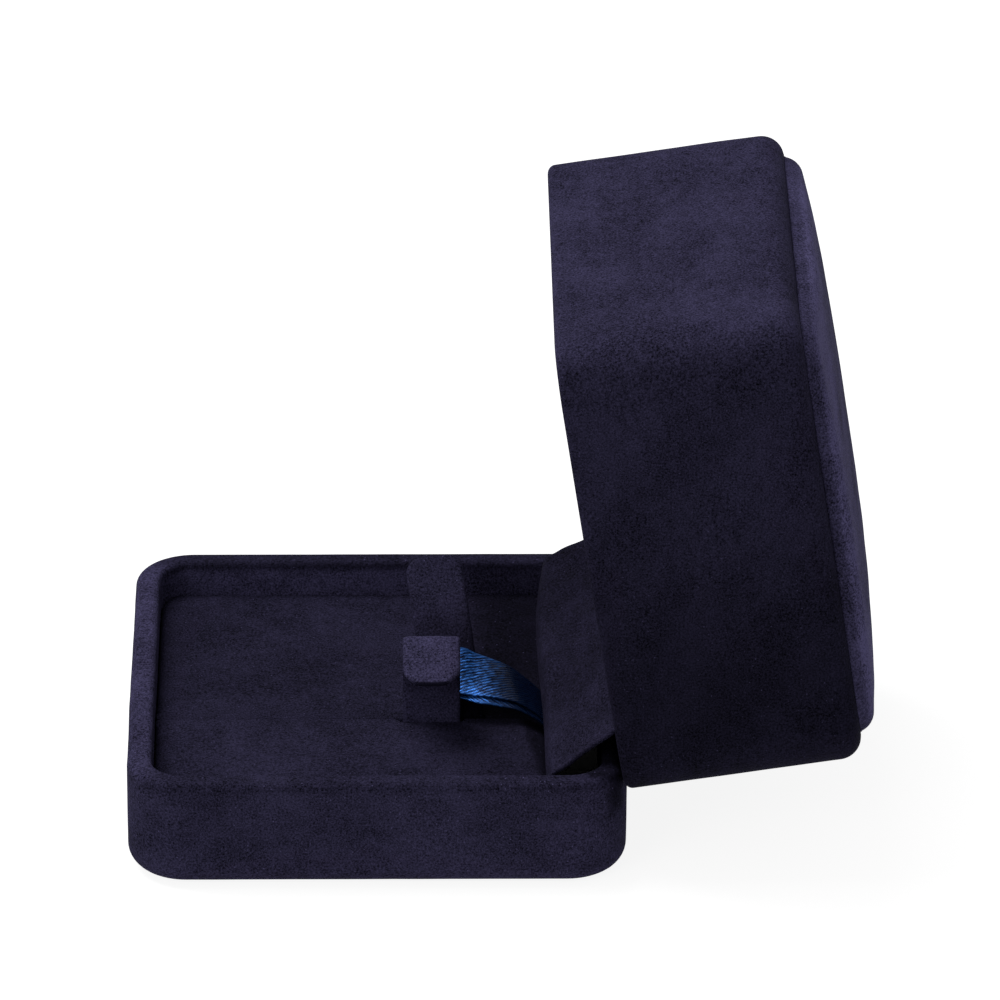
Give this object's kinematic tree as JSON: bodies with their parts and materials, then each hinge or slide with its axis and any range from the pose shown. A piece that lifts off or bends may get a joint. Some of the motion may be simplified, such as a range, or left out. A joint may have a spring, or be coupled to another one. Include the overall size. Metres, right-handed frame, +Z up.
{
  "type": "jewelry gift box",
  "caption": "Square velvet-covered jewelry gift box with a slit cushion, folding display clip, satin ribbon and a deep hinged lid with a raised padded top.",
  "frame": {"origin": "centre of the base's underside", "axes": "+X towards the hinge side, +Y along the hinge from the near side to the far side, +Z up; drawn with the lid open"},
  "size_m": [0.1367, 0.09, 0.1113],
  "materials": {
    "shell_plastic": "moulded, matt",
    "card": "black-faced board",
    "suede_outer": "short-nap suede, very dark navy violet",
    "felt": "pressed felt",
    "foam": "soft foam",
    "suede_insert": "short-nap suede, very dark navy violet",
    "suede_tongue": "short-nap suede, cut edges",
    "suede_flap": "short-nap suede",
    "satin": "ribbed blue satin, glossy",
    "clip_steel": "thin spring strip",
    "hinge_steel": "stamped, bright",
    "spring_steel": "drawn wire"
  },
  "bodies": {
    "base": {"base_shell": "shell_plastic", "base_frame": "card", "base_cover": "suede_outer", "base_felt": "felt", "base_hinge_panel": "card", "insert_board": "card", "near_pad_foam": "foam", "near_pad_cover": "suede_insert", "far_pad_foam": "foam", "far_pad_cover": "suede_insert", "clip_root": "clip_steel", "satin_ribbon": "satin", "hinge_leaf_base": "hinge_steel", "hinge_pin": "hinge_steel", "hinge_spring": "spring_steel", "hinge_rivets_base": "hinge_steel", "hinge_flap": "suede_flap"},
    "front_tongue": {"front_tongue_core": "clip_steel", "front_tongue_cover": "suede_tongue"},
    "back_tongue": {"back_tongue_core": "clip_steel", "back_tongue_cover": "suede_tongue"},
    "lid": {"lid_shell": "shell_plastic", "lid_frame": "card", "lid_cover": "suede_outer", "lid_hinge_panel": "card", "lid_panel_board": "card", "lid_panel_foam": "foam", "lid_panel_cover": "suede_outer", "lid_pad_board": "card", "lid_pad_foam": "foam", "lid_pad_cover": "suede_insert", "hinge_leaf_lid": "hinge_steel", "hinge_rivets_lid": "hinge_steel"}
  },
  "joints": [
    {"name": "lid_hinge", "type": "hinge", "parent": "base", "child": "lid", "pos_m": [0.0419, 0, 0.019], "axis": [0, 1, 0], "range_deg": [-81.3, 0], "deforming": ["hinge_flap", "hinge_spring"]},
    {"name": "front_tongue_flex", "type": "hinge", "parent": "base", "child": "front_tongue", "pos_m": [0.01, -0.00928, 0.01535], "axis": [1, 0, 0], "range_deg": [0, 20], "stiffness_Nm_per_rad": 0.01},
    {"name": "back_tongue_flex", "type": "hinge", "parent": "base", "child": "back_tongue", "pos_m": [0.0144, -0.00773, 0.01535], "axis": [1, 0, 0], "range_deg": [-15, 0], "stiffness_Nm_per_rad": 0.01}
  ]
}
